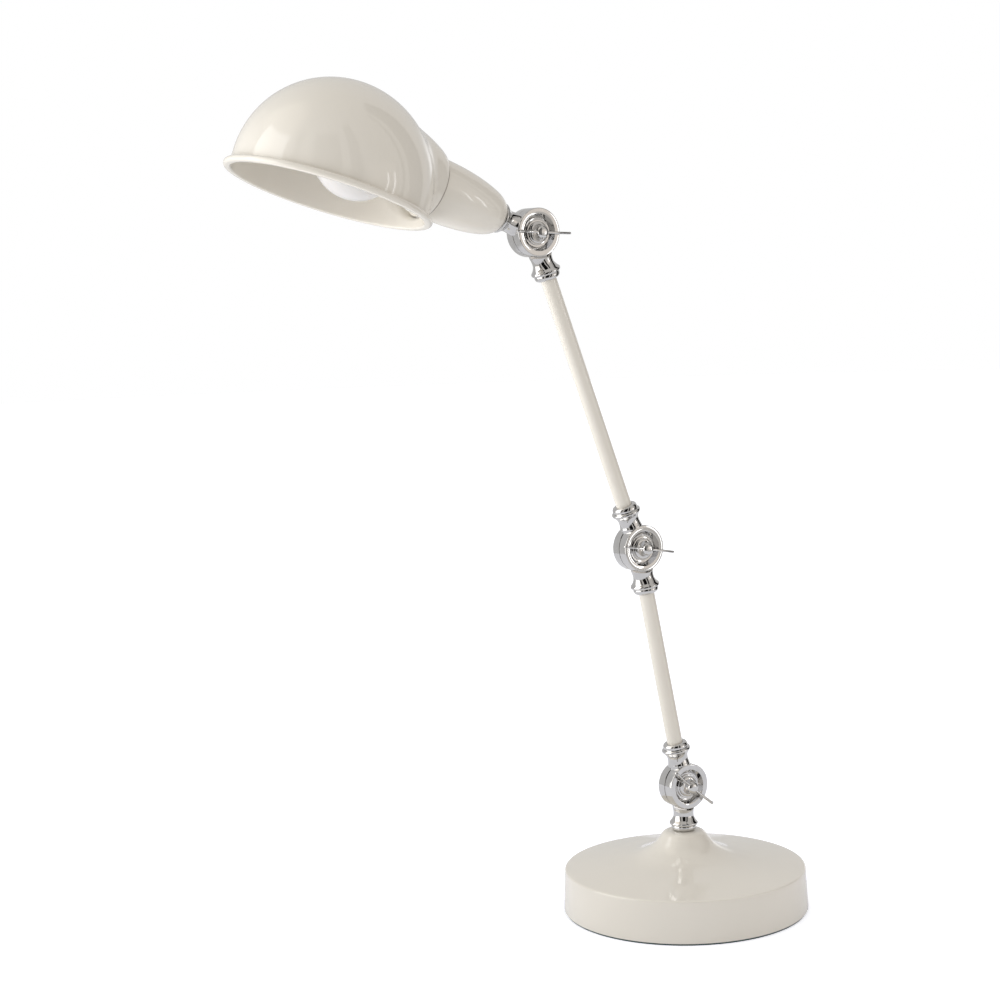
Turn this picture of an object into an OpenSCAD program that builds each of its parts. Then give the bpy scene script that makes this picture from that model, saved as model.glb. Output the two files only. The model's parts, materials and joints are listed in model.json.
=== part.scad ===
// Swing arm desk lamp: a weighted round base, two tube arms, three knuckles
// closed by wing nuts, and a half-dome shade on a bell-shaped lampholder cup.
// The origin is the centre of the underside, +Z is up, the head reaches towards
// -X, and the knuckle bolts lie along Y with their wing nuts on the -Y side.

/* [Base] */
// Diameter of the base at its foot
base_d = 165; // [155:1:175]
// Height at which the side wall turns into the top
wall_h = 27.6; // [26:0.2:29]
// Height of the hub that the lowest knuckle stands on
hub_h = 53.8; // [53:0.2:58]
// Thickness of the pressed steel sheet of cover, cup and shade
sheet = 1.2; // [0.8:0.1:1.2]
// Thickness of the felt pad
felt_t = 1.2; // [0.8:0.1:1.6]
// Thickness of the closing plate above the felt
plate_t = 1.5; // [1:0.1:2]
// Height of the cast weight
weight_h = 21; // [18:0.5:21]
// Diameter of the cord that the inlet grommet is made for
cord_d = 7.2; // [6:0.1:7.4]

/* [Arms] */
// Lean of the lower arm from upright
lower_lean = 11; // [0:1:20]
// Distance between the bolts at the ends of the lower arm
lower_len = 168; // [140:1:200]
// Lean of the upper arm from upright
upper_lean = 19.8; // [10:0.2:30]
// Distance between the bolts at the ends of the upper arm
upper_len = 220.4; // [190:0.2:250]
// Outside diameter of the arm tubes
tube_d = 10.3; // [9.8:0.1:10.3]
// Wall of the arm tubes
tube_wall = 1; // [0.8:0.1:1.2]
// Diameter of the two-core lead inside the arms
lead_d = 4.4; // [4:0.1:5]

/* [Knuckles] */
// Diameter of a knuckle's drum
drum_d = 30.6; // [30:0.1:32]
// Width of a knuckle's drum over both halves
drum_w = 15; // [14.8:0.1:16]
// Gap between the two halves, filled by the friction ring
seam = 0.6; // [0.5:0.1:0.8]
// Diameter of the pivot bolt
bolt_d = 5.9; // [5.7:0.1:5.9]
// Length of a neck from the bolt's axis to its outer end
neck_len = 31; // [30.5:0.1:32]
// Span of a wing nut, tip to tip
wing_span = 40.5; // [34:0.5:42]
// Thickness of a wing
wing_t = 1.5; // [1.2:0.1:2]
// Turn of the base wing nut from level
base_wing_turn = 40.5; // [0:0.5:90]
// Turn of the elbow wing nut from level
elbow_wing_turn = 10.5; // [0:0.5:90]
// Turn of the head wing nut from level
head_wing_turn = 3.5; // [0:0.5:90]

/* [Head] */
// Lean of the lampholder's axis from upright
head_lean = 68.3; // [60:0.1:75]
// Outside diameter of the dome
dome_d = 121; // [118:1:124]
// Height of the dome's straight skirt
skirt_h = 9.8; // [8:0.1:11]
// Outside diameter of the rolled bead
bead_d = 128.2; // [128:0.1:128.4]
// Thickness of the rolled bead
bead_t = 4; // [3.8:0.1:4.2]
// Distance from the head bolt to the middle of the opening, along the lampholder
shade_s = 143; // [142.5:0.1:144]
// Height of the lampholder's axis above the opening
axis_h = 30.7; // [30.4:0.1:31]
// Lean of the opening towards the lampholder
mouth_lean = 1.8; // [0:0.1:3]
// Turn of the opening away from the wing nuts
mouth_turn = 1.7; // [0:0.1:3]
// Diameter of the bulb's globe
bulb_d = 55; // [53:0.5:57]

/* [Hidden] */
$fn = 96;

cream = "#e6dfd2";
chrome = "#c9c9cc";
steel = "#9a9ea3";
iron = "#4b4d50";
brass = "#c9a24b";
felt = "#20393c";
rubber = "#222222";
bakelite = "#2b211c";
moulding = "#efece4";
fibre = "#3a3028";
porcelain = "#ecebe6";
opal = "#f6f4ee";

fit = 0.05;             // radial clearance of a bolt in its running bore
slip = 0.1;             // radial clearance of a tube or thread in its socket
loose = 0.2;            // radial clearance of a washer, and gap at a socket's bottom
over = 1;               // how far a cut runs past what it cuts
edge_mid = 0.3;         // inset of a rounded edge at 45 degrees, per unit of its radius

// Standard small parts
stem_r = 4.95;          // M10 stem and nipple
stem_bore = 3.4;
stem_hole = stem_r + slip;
nut_r = 14 / sqrt(3);   // M10 nut, 14 mm across its flats
nut_h = 3.6;
washer_h = 1;
screw_r = 2;            // M4 screws
screw_head_r = 3.7;
lead_r = lead_d / 2;

// Base
base_r = base_d / 2;
wall_taper = 1.3;       // how much the wall leans in between foot and rim
rim_r = base_r - wall_taper;
rim_round = 1.4;        // rounding of the rim
hub_r = 11;             // flat top of the hub
foot_z = felt_t;
plate_top = felt_t + plate_t;
weight_top = plate_top + weight_h;
under_hub = hub_h - sheet;
screw_circle = 62;
inlet_z = 14.5;
inlet_r = 4.8;
grommet_r = 6.6;
grommet_h = 6.2;
grommet_proud = 1.8;    // how far the grommet stands out of the foot's radius
stem_foot = 4.2;
weight_nut_z = plate_top + 2.4;
lead_z = weight_top + 5.2;  // where the lead crosses from the stem to the terminals
lead_hole_rise = 0.4;   // the stem's side hole is a little above the lead's middle
earth_x = -34;
terminal_x = 27;        // nearer face of the terminal block
terminal_size = [15, 27, 8];
terminal_rows = [4, 11];
terminal_pitch = 8.5;
terminal_floor = 3;     // bottom of the screw holes in the block

// Arms and knuckles
drum_r = drum_d / 2;
half_w = drum_w / 2;
half_seam = seam / 2;
bolt_r = bolt_d / 2;
cavity_r = 12.7;        // hollow of a half, round the bolt
lead_hole_y = 2.7;      // the lead crosses a neck's root beside the seam
lead_hole_r = 2.3;
lead_hole_s = 11;
neck_clear = 1.2;       // gap between a neck and the other half's drum
neck_root = 13;         // where a neck grows out of the drum's wall
lip_r = 8.3;            // plain end of a neck
lip_s = 27.3;
socket_s = 23;          // bottom of the socket in a neck's outer end
socket_r = 5.2;
dish_out = 11.5;        // dished front: outer and inner radius and depth
dish_in = 9.2;
dish_deep = 2.9;
face_wall = 1.2;        // walls of the front half: rim, cone and floor
cone_wall = 0.85;
front_floor = 1.6;
back_floor = 1.9;
floor_y = half_w - dish_deep;
washer_r = 8;           // washer under a wing nut
washer_t = 0.9;
nut_y = floor_y + washer_t + fit;
nut_flange_r = 6.9;
nut_tip = 13.3;
bolt_end = 10.9;

base_pin = [0, 0, hub_h + neck_len];
elbow_pin = along(base_pin, lower_lean, lower_len);
head_pin = along(elbow_pin, upper_lean, upper_len);

// Head: s is the distance from the head bolt along the lampholder's axis
dome_r = dome_d / 2;
bead_r = bead_t / 2;
collar_s = shade_s - 63.5;
collar_r = 20;
collar_len = 36;
flange_s = collar_s + 2;
cup_s = 27.3;
cup_end_s = flange_s - 0.3;
cup_end_r = 19.4;
cup_hole_r = lip_r + slip;
nipple_len = 27;
holder_s = 44;
holder_r = 15.8;
holder_wall = 1.5;
insert_s = 52;
insert_h = 8;
shell_s = 62;
shell_end = 88;
shell_flange = [17.6, 2.6]; // radius and thickness of the flange that the shade rests on
thread_s = 64;
thread_r = 13.4;
thread_wall = 0.4;
thread_len = 22;
ring_r = 18.8;
ring_h = 4;
lamp_s = 62.5;          // tip of the bulb's cap
lamp_tip_h = 1.2;
lamp_tip_r = 4.6;
lamp_cap_r = 13;
lamp_cap_s = 67;
lamp_cap_wall = 0.5;
lamp_seat_r = 9;        // glass insulator at the end of the bulb's cap
globe_s = shade_s - 11.3;
globe_r = bulb_d / 2;
glass_t = 0.8;

// A point at a distance from another, in the direction of a lean
function along(p, lean, d) = p + d * [-sin(lean), 0, cos(lean)];

// Catmull-Rom curve through points, with n steps in each span
function blend(a, b, c, d, t) = 0.5 * ((2 * b) + (c - a) * t
    + (2 * a - 5 * b + 4 * c - d) * t * t + (3 * b - a - 3 * c + d) * t * t * t);
function curve(p, n = 4) = concat([for (i = [0 : len(p) - 2], k = [0 : n - 1])
    blend(p[max(i - 1, 0)], p[i], p[i + 1], p[min(i + 2, len(p) - 1)], k / n)], [p[len(p) - 1]]);

// A profile moved inwards by a wall's thickness
function inset(p, t) = [for (q = p) [max(q[0] - t, 0), q[1]]];

// The same profile lowered, for the underside of a sheet
function lowered(p, t) = [for (q = p) [q[0], q[1] - t]];

module revolve(profile) {
    rotate_extrude() polygon(profile);
}

module on_pin(pin, lean) {
    translate(pin) rotate([0, -lean, 0]) children();
}

module ring(r_out, r_in, h) {
    difference() {
        cylinder(r = r_out, h = h);
        translate([0, 0, -over]) cylinder(r = r_in, h = h + 2 * over);
    }
}

module hex_nut() {
    difference() {
        cylinder(r = nut_r, h = nut_h, $fn = 6);
        translate([0, 0, -over]) cylinder(r = stem_r + fit, h = nut_h + 2 * over);
    }
}

// ---- Base ----

bell = curve([[rim_r - rim_round, wall_h + rim_round], [58, 32.8], [37.4, 36.4], [27, 40.2],
    [20.5, 44.4], [17, 48.6], [14.4, 52], [hub_r, hub_h]]);

module cover_outside() {
    revolve(concat([[0, foot_z], [base_r, foot_z], [rim_r, wall_h],
        [rim_r - rim_round * edge_mid, wall_h + rim_round * (1 - edge_mid)]], bell, [[0, hub_h]]));
}

module cover_inside() {
    revolve(concat([[0, foot_z - over], [base_r - sheet, foot_z - over], [base_r - sheet, foot_z],
        [rim_r - sheet, wall_h - sheet / 3]],
        lowered(inset(bell, sheet * 0.6), sheet), [[0, under_hub]]));
}

module inlet_hole(r) {
    half = 12;
    translate([base_r - half, 0, inlet_z]) rotate([0, 90, 0]) cylinder(r = r, h = 2 * half);
}

module cover_shell() {
    difference() {
        cover_outside();
        cover_inside();
        inlet_hole(inlet_r);
        cylinder(r = stem_hole, h = hub_h + over);
    }
}

module base_cover() {
    color(cream) cover_shell();
}

module felt_pad() {
    margin = 1;
    color(felt) cylinder(r = base_r - margin, h = felt_t);
}

module at_screws() {
    for (a = [60 : 120 : 300]) rotate([0, 0, a]) translate([screw_circle, 0, 0]) children();
}

module base_plate() {
    margin = sheet + 0.4;
    hole_r = screw_r + loose;
    color(steel) difference() {
        translate([0, 0, felt_t]) cylinder(r = base_r - margin, h = plate_t);
        at_screws() translate([0, 0, felt_t - over]) cylinder(r = hole_r, h = plate_t + 2 * over);
        at_screws() translate([0, 0, felt_t])
            cylinder(r1 = screw_head_r + slip, r2 = hole_r, h = plate_t);
    }
}

module plate_screws() {
    length = 11;
    color(steel) at_screws() translate([0, 0, felt_t]) {
        cylinder(r1 = screw_head_r, r2 = screw_r, h = plate_t);
        cylinder(r = screw_r, h = length);
    }
}

// The cast weight has a pocket for its nut, screw holes and a slot for the cord
module base_weight() {
    margin = 4.5;
    pocket = [11, 7];
    slot = [40, 15];
    slot_x = 46;
    slot_floor = 3;
    hole_h = 13;
    earth_h = 9;
    color(iron) difference() {
        translate([0, 0, plate_top]) cylinder(r = base_r - margin, h = weight_h);
        translate([0, 0, plate_top - over]) cylinder(r = stem_hole, h = weight_h + 2 * over);
        translate([0, 0, plate_top - over]) cylinder(r = pocket[0], h = pocket[1] + over);
        at_screws() translate([0, 0, plate_top - over]) cylinder(r = screw_r + fit, h = hole_h + over);
        translate([slot_x, -slot[1] / 2, plate_top + slot_floor])
            cube([slot[0], slot[1], weight_h]);
        translate([earth_x, 0, weight_top - earth_h])
            cylinder(r = screw_r + fit, h = earth_h + over);
    }
}

module cable_grommet() {
    color(rubber) difference() {
        translate([base_r + grommet_proud - grommet_h, 0, inlet_z]) rotate([0, 90, 0])
            cylinder(r = grommet_r, h = grommet_h);
        cover_shell();
        inlet_hole(cord_d / 2);
    }
}

module at_terminals() {
    for (x = terminal_rows, y = [-1 : 1])
        translate([terminal_x + x, y * terminal_pitch, weight_top + terminal_floor]) children();
}

module terminal_block() {
    hole_r = 1.7;
    color(porcelain) difference() {
        translate([terminal_x, -terminal_size[1] / 2, weight_top]) cube(terminal_size);
        at_terminals() cylinder(r = hole_r, h = terminal_size[2]);
    }
}

module terminal_screws() {
    body = [1.6, 4.2];
    slot = [0.6, 0.7];
    color(brass) at_terminals() difference() {
        cylinder(r = body[0], h = body[1]);
        translate([-body[0] - over, -slot[0] / 2, body[1] - slot[1]])
            cube([2 * (body[0] + over), slot[0], body[1]]);
    }
}

module earth_screw() {
    shank_h = 8;
    head_h = 2.2;
    color(brass) translate([earth_x, 0, weight_top]) {
        translate([0, 0, -shank_h]) cylinder(r = screw_r, h = shank_h + over);
        cylinder(r = screw_head_r, h = head_h);
    }
}

module threaded_stem() {
    stem_top = base_pin[2] - socket_s;
    side_hole = [3.2, 8];
    color(steel) difference() {
        translate([0, 0, stem_foot]) cylinder(r = stem_r, h = stem_top - stem_foot);
        translate([0, 0, stem_foot - over]) cylinder(r = stem_bore, h = stem_top);
        translate([0, 0, lead_z + lead_hole_rise]) rotate([0, 90, 0])
            cylinder(r = side_hole[0], h = side_hole[1]);
    }
}

module weight_nut() {
    color(steel) translate([0, 0, weight_nut_z]) hex_nut();
}

module weight_washer() {
    color(steel) translate([0, 0, weight_nut_z + nut_h]) ring(9.5, stem_hole, washer_h);
}

module stem_washer() {
    color(steel) translate([0, 0, under_hub - washer_h]) ring(9, stem_hole, washer_h);
}

module stem_nut() {
    color(steel) translate([0, 0, under_hub - washer_h - nut_h]) hex_nut();
}

// The lead comes down the stem, turns and leaves by the hole in its side
module base_lead() {
    bend = 6;
    turn_z = lead_z + bend;
    color(rubber) {
        translate([0, 0, turn_z]) cylinder(r = lead_r, h = base_pin[2] - socket_s - turn_z);
        translate([bend, 0, turn_z]) rotate([90, 0, 0]) rotate([0, 0, 180])
            rotate_extrude(angle = 90) translate([bend, 0]) circle(r = lead_r, $fn = 32);
        translate([bend, 0, lead_z]) rotate([0, 90, 0]) cylinder(r = lead_r, h = terminal_x - bend);
    }
}

// ---- Knuckles: the bolt lies along Y, the neck along +Z ----

neck_side = curve([[7.4, neck_root], [7.35, 15.4], [7.0, 17.2], [6.8, 19.4], [7.0, 21.4],
    [7.9, 23.3], [9.0, 24.7], [9.6, 25.7], [9.6, 26.5], [9.0, 27.1]]);

module neck() {
    edge = 0.5;
    revolve(concat([[0, neck_root]], neck_side, [[lip_r, lip_s], [lip_r, neck_len - edge],
        [lip_r - edge, neck_len], [0, neck_len]]));
}

// The side of the neck that reaches over the other half stays clear of its drum
module cleared_neck(side) {
    difference() {
        neck();
        rotate([side * 90, 0, 0]) translate([0, 0, -half_seam])
            cylinder(r = drum_r + neck_clear, h = drum_w);
    }
}

module neck_bores(side) {
    translate([0, side * lead_hole_y, lead_hole_s])
        cylinder(r = lead_hole_r, h = socket_s - lead_hole_s + over);
    translate([0, 0, socket_s]) cylinder(r = socket_r, h = neck_len);
}

module knuckle_rear() {
    edge = 1.2;
    color(chrome) difference() {
        union() {
            rotate([-90, 0, 0]) revolve([[0, half_seam], [drum_r, half_seam],
                [drum_r, half_w - edge], [drum_r - edge * edge_mid, half_w - edge * edge_mid],
                [drum_r - edge, half_w], [0, half_w]]);
            cleared_neck(1);
        }
        rotate([-90, 0, 0]) cylinder(r = cavity_r, h = half_w - back_floor);
        rotate([-90, 0, 0]) cylinder(r = bolt_r + fit, h = half_w + over);
        neck_bores(1);
    }
}

module knuckle_front() {
    edge = 0.5;
    color(chrome) difference() {
        union() {
            rotate([90, 0, 0]) revolve([[0, half_seam], [drum_r, half_seam],
                [drum_r, half_w - edge], [drum_r - edge, half_w], [dish_out, half_w],
                [dish_in, floor_y], [0, floor_y]]);
            cleared_neck(-1);
        }
        rotate([90, 0, 0]) revolve([[0, 0], [cavity_r, 0], [cavity_r, half_w - face_wall],
            [dish_out + cone_wall, half_w - face_wall], [dish_in + cone_wall, floor_y - face_wall],
            [dish_in, floor_y - front_floor], [0, floor_y - front_floor]]);
        rotate([90, 0, 0]) cylinder(r = bolt_r + fit, h = half_w + over);
        neck_bores(-1);
    }
}

module friction_ring() {
    recess = 0.7;
    color(fibre) rotate([90, 0, 0]) translate([0, 0, -half_seam])
        ring(drum_r - recess, cavity_r + loose, seam - fit);
}

module pivot_bolt() {
    head_r = 6.4;
    head_h = 2.2;
    color(chrome) rotate([-90, 0, 0]) {
        translate([0, 0, -bolt_end]) cylinder(r = bolt_r, h = bolt_end + half_w + over);
        translate([0, 0, half_w]) revolve([[0, 0], [head_r, 0], [head_r, 0.6],
            [head_r - 1, 1.4], [head_r - 2.8, 2], [0, head_h]]);
    }
}

module cup_washer_ring() {
    edge = 0.6;
    color(chrome) rotate([90, 0, 0]) difference() {
        translate([0, 0, floor_y]) revolve([[0, 0], [washer_r, 0], [washer_r, washer_t - edge],
            [washer_r - edge, washer_t], [0, washer_t]]);
        cylinder(r = bolt_r + loose, h = half_w + over);
    }
}

module wing() {
    inner_x = 2;
    root = [4.6, 9.6];
    root_r = 2.3;
    tip_r = 1.8;
    tip = [wing_span / 2 - tip_r, 12.4];
    rotate([90, 0, 0]) linear_extrude(height = wing_t, center = true) {
        translate(root) circle(r = root_r);
        translate(tip) circle(r = tip_r);
        polygon([root + [0, root_r], [inner_x, root[1] + root_r], [inner_x, root[1] - root_r],
            root - [0, root_r], tip - [0, tip_r], tip + [0, tip_r]]);
    }
}

module wing_nut(turn) {
    flange = [[0, nut_y], [nut_flange_r, nut_y], [nut_flange_r, nut_y + 0.9],
        [nut_flange_r - 0.4, nut_y + 1.2]];
    hub = curve([[5.1, nut_y + 1.5], [4.5, nut_y + 2.8], [4.1, 10.2], [3.9, 11.6],
        [3.3, 12.5], [2.1, 13.1], [0, nut_tip]]);
    color(chrome) rotate([0, turn, 0]) rotate([90, 0, 0]) difference() {
        union() {
            revolve(concat(flange, hub));
            wing();
            rotate([0, 0, 180]) wing();
        }
        cylinder(r = bolt_r + fit, h = bolt_end + loose);
    }
}

module arm_tube(pin, lean, length) {
    color(cream) on_pin(pin, lean) translate([0, 0, socket_s + loose])
        ring(tube_d / 2, tube_d / 2 - tube_wall, length - 2 * (socket_s + loose));
}

module arm_lead(pin, lean, length) {
    color(rubber) on_pin(pin, lean) translate([0, 0, socket_s + loose])
        cylinder(r = lead_r, h = length - 2 * (socket_s + loose));
}

// ---- Head: in these modules Z is the lampholder's axis and X is the shade's ----

cup_side = curve([[9.4, cup_s], [11.3, 29.2], [13.8, 34], [15.8, 41], [17.2, 48], [18.3, 56],
    [19, 64], [19.3, 72], [cup_end_r, cup_end_s]], 3);

module in_head() {
    on_pin(head_pin, head_lean) children();
}

module head_nipple() {
    color(steel) in_head() translate([0, 0, socket_s + loose]) ring(stem_r, stem_bore, nipple_len);
}

module head_lead() {
    color(rubber) in_head() translate([0, 0, socket_s + loose])
        cylinder(r = lead_r, h = nipple_len + 2 * loose);
}

// The washer is stepped: it goes over the neck's end and presses on the cup's floor
module cup_washer() {
    r = 9.2;
    color(steel) in_head() difference() {
        translate([0, 0, cup_s + sheet]) cylinder(r = r, h = neck_len + washer_h - cup_s - sheet);
        translate([0, 0, cup_s]) cylinder(r = cup_hole_r, h = neck_len - cup_s);
        cylinder(r = stem_hole, h = neck_len + washer_h + over);
    }
}

module cup_nut() {
    color(steel) in_head() translate([0, 0, neck_len + washer_h]) hex_nut();
}

module holder_cup() {
    floor_r = 9.5;
    color(cream) in_head() difference() {
        revolve(concat([[0, cup_s]], cup_side, [[0, cup_end_s]]));
        revolve(concat([[0, cup_s + sheet], [floor_r, cup_s + sheet]],
            [for (q = cup_side) if (q[1] > cup_s + 1.5 * sheet)
            [q[0] - sheet, q[1]]], [[cup_end_r - sheet, cup_end_s + over], [0, cup_end_s + over]]));
        cylinder(r = cup_hole_r, h = cup_s + sheet + over);
    }
}

module lampholder_cap() {
    side = [[10, holder_s], [13, holder_s + 1.2], [14.8, holder_s + 3.2], [holder_r, holder_s + 6.4]];
    color(moulding) in_head() difference() {
        revolve(concat([[0, holder_s]], side, [[holder_r, shell_s], [0, shell_s]]));
        revolve(concat([[0, holder_s + holder_wall]],
            [for (q = side) [q[0] - holder_wall, q[1] + holder_wall]],
            [[holder_r - holder_wall, shell_s + over], [0, shell_s + over]]));
        cylinder(r = stem_hole, h = holder_s + holder_wall + over);
    }
}

module lampholder_nut() {
    color(steel) in_head() translate([0, 0, holder_s + holder_wall]) hex_nut();
}

module lampholder_insert() {
    wire_hole = [8, 1.6];
    color(porcelain) in_head() translate([0, 0, insert_s]) difference() {
        cylinder(r = holder_r - holder_wall - slip, h = insert_h);
        for (side = [-1, 1]) translate([side * wire_hole[0], 0, -over])
            cylinder(r = wire_hole[1], h = insert_h + 2 * over);
    }
}

module lampholder_contact() {
    strip = [12, 5, 0.6];
    button_r = 2.2;
    color(brass) in_head() translate([0, 0, insert_s + insert_h]) {
        cylinder(r = button_r, h = lamp_s - insert_s - insert_h);
        translate([-strip[0] / 2, -strip[1] / 2, 0]) cube(strip);
    }
}

module lampholder_thread() {
    color(brass) in_head() translate([0, 0, thread_s])
        ring(thread_r + thread_wall, thread_r, thread_len);
}

module lampholder_shell() {
    color(moulding) in_head() difference() {
        union() {
            translate([0, 0, shell_s]) cylinder(r = holder_r, h = shell_end - shell_s);
            translate([0, 0, flange_s - shell_flange[1]])
                cylinder(r = shell_flange[0], h = shell_flange[1]);
        }
        translate([0, 0, shell_s - over])
            cylinder(r = thread_r + thread_wall + slip, h = shell_end - shell_s + 2 * over);
    }
}

// Here the origin is the middle of the shade's opening and X points into the dome
module in_mouth() {
    translate([skirt_h - axis_h, 0, shade_s]) rotate([0, -mouth_lean, -mouth_turn])
        translate([-skirt_h, 0, 0]) children();
}

// A half ball on a straight skirt
module dome_solid(r, drop) {
    in_mouth() rotate([0, 90, 0]) {
        translate([0, 0, -drop]) cylinder(r = r, h = skirt_h + drop);
        intersection() {
            translate([0, 0, skirt_h]) sphere(r = r);
            translate([0, 0, skirt_h]) cylinder(r = r + over, h = r + over);
        }
    }
}

// Outer side of the collar that swells out of the dome round the lampholder
collar_side = curve([[20.6, collar_s], [21.3, collar_s + 0.45], [22.3, collar_s + 1.7],
    [24.6, collar_s + 6.5], [28, collar_s + 16], [31.5, collar_s + 27.5],
    [33, collar_s + collar_len]], 2);

module collar_solid() {
    block = 200;
    intersection() {
        revolve(concat([[0, collar_s]], collar_side, [[0, collar_s + collar_len]]));
        in_mouth() translate([bead_t, -block / 2, -block / 2]) cube(block);
    }
}

module bead() {
    in_mouth() translate([bead_r, 0, 0]) rotate([0, 90, 0]) rotate_extrude()
        translate([bead_d / 2 - bead_r, 0]) circle(r = bead_r, $fn = 48);
}

module shade() {
    color(cream) in_head() difference() {
        union() {
            dome_solid(dome_r, 0);
            collar_solid();
            bead();
        }
        dome_solid(dome_r - sheet, 2 * over);
        translate([0, 0, collar_s - over]) cylinder(r = collar_r, h = flange_s - collar_s + over);
        translate([0, 0, flange_s + sheet]) cylinder(r = collar_r, h = collar_len);
        cylinder(r = holder_r + 1.5 * slip, h = shade_s);
    }
}

module shade_ring() {
    notch = [3, 4];
    notch_in = 1.2;
    floor_t = 1;
    color(moulding) in_head() translate([0, 0, flange_s + sheet]) difference() {
        ring(ring_r, holder_r + slip, ring_h);
        for (a = [0 : 60 : 300]) rotate([0, 0, a])
            translate([ring_r - notch_in, -notch[1] / 2, floor_t]) cube([notch[0], notch[1], ring_h]);
    }
}

// Half outline of the bulb at an offset: a globe that runs into a tapered stem
function bulb_side(t) = concat([[lamp_cap_r - 0.4 - t, shell_end],
    [lamp_cap_r + 0.4 - t, shell_end + 4]],
    [for (a = [-52 : 6 : 90]) [(globe_r - t) * cos(a), globe_s + (globe_r - t) * sin(a)]]);

module bulb_glass() {
    floor_s = shell_end + glass_t;
    color(opal) in_head() difference() {
        revolve(concat([[0, shell_end]], bulb_side(0)));
        revolve(concat([[0, floor_s]], [for (q = bulb_side(glass_t)) [q[0], max(q[1], floor_s)]]));
    }
}

module bulb_cap() {
    taper = [11, 1.5];
    color(steel) in_head() difference() {
        union() {
            translate([0, 0, lamp_cap_s]) cylinder(r = lamp_cap_r, h = shell_end - lamp_cap_s);
            translate([0, 0, lamp_cap_s - taper[1]])
                cylinder(r1 = taper[0], r2 = lamp_cap_r, h = taper[1]);
        }
        translate([0, 0, lamp_cap_s]) cylinder(r = lamp_cap_r - lamp_cap_wall, h = shell_end);
        translate([0, 0, lamp_s]) cylinder(r = lamp_seat_r, h = lamp_cap_s - lamp_s + over);
    }
}

module bulb_insulator() {
    seat_h = 1.5;
    color(bakelite) in_head() revolve([[0, lamp_s + lamp_tip_h], [lamp_tip_r + loose, lamp_s + lamp_tip_h],
        [lamp_seat_r, lamp_cap_s - seat_h], [lamp_seat_r, lamp_cap_s], [0, lamp_cap_s]]);
}

module bulb_contact() {
    color(brass) in_head() translate([0, 0, lamp_s]) cylinder(r = lamp_tip_r, h = lamp_tip_h);
}

felt_pad();
base_plate();
plate_screws();
base_weight();
base_cover();
cable_grommet();
terminal_block();
terminal_screws();
earth_screw();
threaded_stem();
weight_nut();
weight_washer();
stem_nut();
stem_washer();
base_lead();

on_pin(base_pin, 180) knuckle_rear();  // base_knuckle_rear
on_pin(base_pin, 0) friction_ring();  // base_friction_ring
on_pin(base_pin, 0) pivot_bolt();  // base_pivot_bolt
on_pin(base_pin, lower_lean) knuckle_front();  // base_knuckle_front
on_pin(base_pin, 0) cup_washer_ring();  // base_cup_washer
on_pin(base_pin, 0) wing_nut(base_wing_turn);  // base_wing_nut
arm_tube(base_pin, lower_lean, lower_len);  // lower_arm_tube
arm_lead(base_pin, lower_lean, lower_len);  // lower_arm_lead

on_pin(elbow_pin, lower_lean + 180) knuckle_rear();  // elbow_knuckle_rear
on_pin(elbow_pin, 0) friction_ring();  // elbow_friction_ring
on_pin(elbow_pin, 0) pivot_bolt();  // elbow_pivot_bolt
on_pin(elbow_pin, upper_lean) knuckle_front();  // elbow_knuckle_front
on_pin(elbow_pin, 0) cup_washer_ring();  // elbow_cup_washer
on_pin(elbow_pin, 0) wing_nut(elbow_wing_turn);  // elbow_wing_nut
arm_tube(elbow_pin, upper_lean, upper_len);  // upper_arm_tube
arm_lead(elbow_pin, upper_lean, upper_len);  // upper_arm_lead

on_pin(head_pin, upper_lean + 180) knuckle_rear();  // head_knuckle_rear
on_pin(head_pin, 0) friction_ring();  // head_friction_ring
on_pin(head_pin, 0) pivot_bolt();  // head_pivot_bolt
on_pin(head_pin, head_lean) knuckle_front();  // head_knuckle_front
on_pin(head_pin, 0) cup_washer_ring();  // head_cup_washer
on_pin(head_pin, 0) wing_nut(head_wing_turn);  // head_wing_nut
head_nipple();
cup_washer();
cup_nut();
holder_cup();
head_lead();
lampholder_cap();
lampholder_nut();
lampholder_insert();
lampholder_contact();
lampholder_thread();
lampholder_shell();
shade();
shade_ring();
bulb_glass();
bulb_cap();
bulb_insulator();
bulb_contact();
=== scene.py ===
"""Looks for the swing arm desk lamp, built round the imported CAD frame.

Lengths in this script are millimetres in the CAD frame and are turned into
metres when a mesh is made. In the head's own frame X points out of the top of
the dome, Z runs from the head bolt along the lampholder, and Y is the bolt.
"""

import json
import math

import bmesh
import bpy
import numpy as np
from mathutils import Matrix, Vector


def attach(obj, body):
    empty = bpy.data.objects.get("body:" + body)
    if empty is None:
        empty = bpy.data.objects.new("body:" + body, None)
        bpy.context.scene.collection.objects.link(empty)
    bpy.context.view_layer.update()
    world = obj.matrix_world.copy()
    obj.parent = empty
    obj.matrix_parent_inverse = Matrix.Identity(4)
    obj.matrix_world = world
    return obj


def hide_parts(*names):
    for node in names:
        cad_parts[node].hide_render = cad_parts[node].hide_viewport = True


MM = 0.001
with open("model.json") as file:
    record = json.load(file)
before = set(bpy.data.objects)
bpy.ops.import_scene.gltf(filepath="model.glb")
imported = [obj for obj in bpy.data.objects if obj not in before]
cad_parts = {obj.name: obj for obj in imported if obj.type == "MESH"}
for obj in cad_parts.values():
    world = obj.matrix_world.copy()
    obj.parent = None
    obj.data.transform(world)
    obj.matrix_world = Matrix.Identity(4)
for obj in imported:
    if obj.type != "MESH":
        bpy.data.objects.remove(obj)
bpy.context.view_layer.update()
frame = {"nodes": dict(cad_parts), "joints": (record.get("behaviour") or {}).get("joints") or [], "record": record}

# ---------------------------------------------------------------- dimensions

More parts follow.
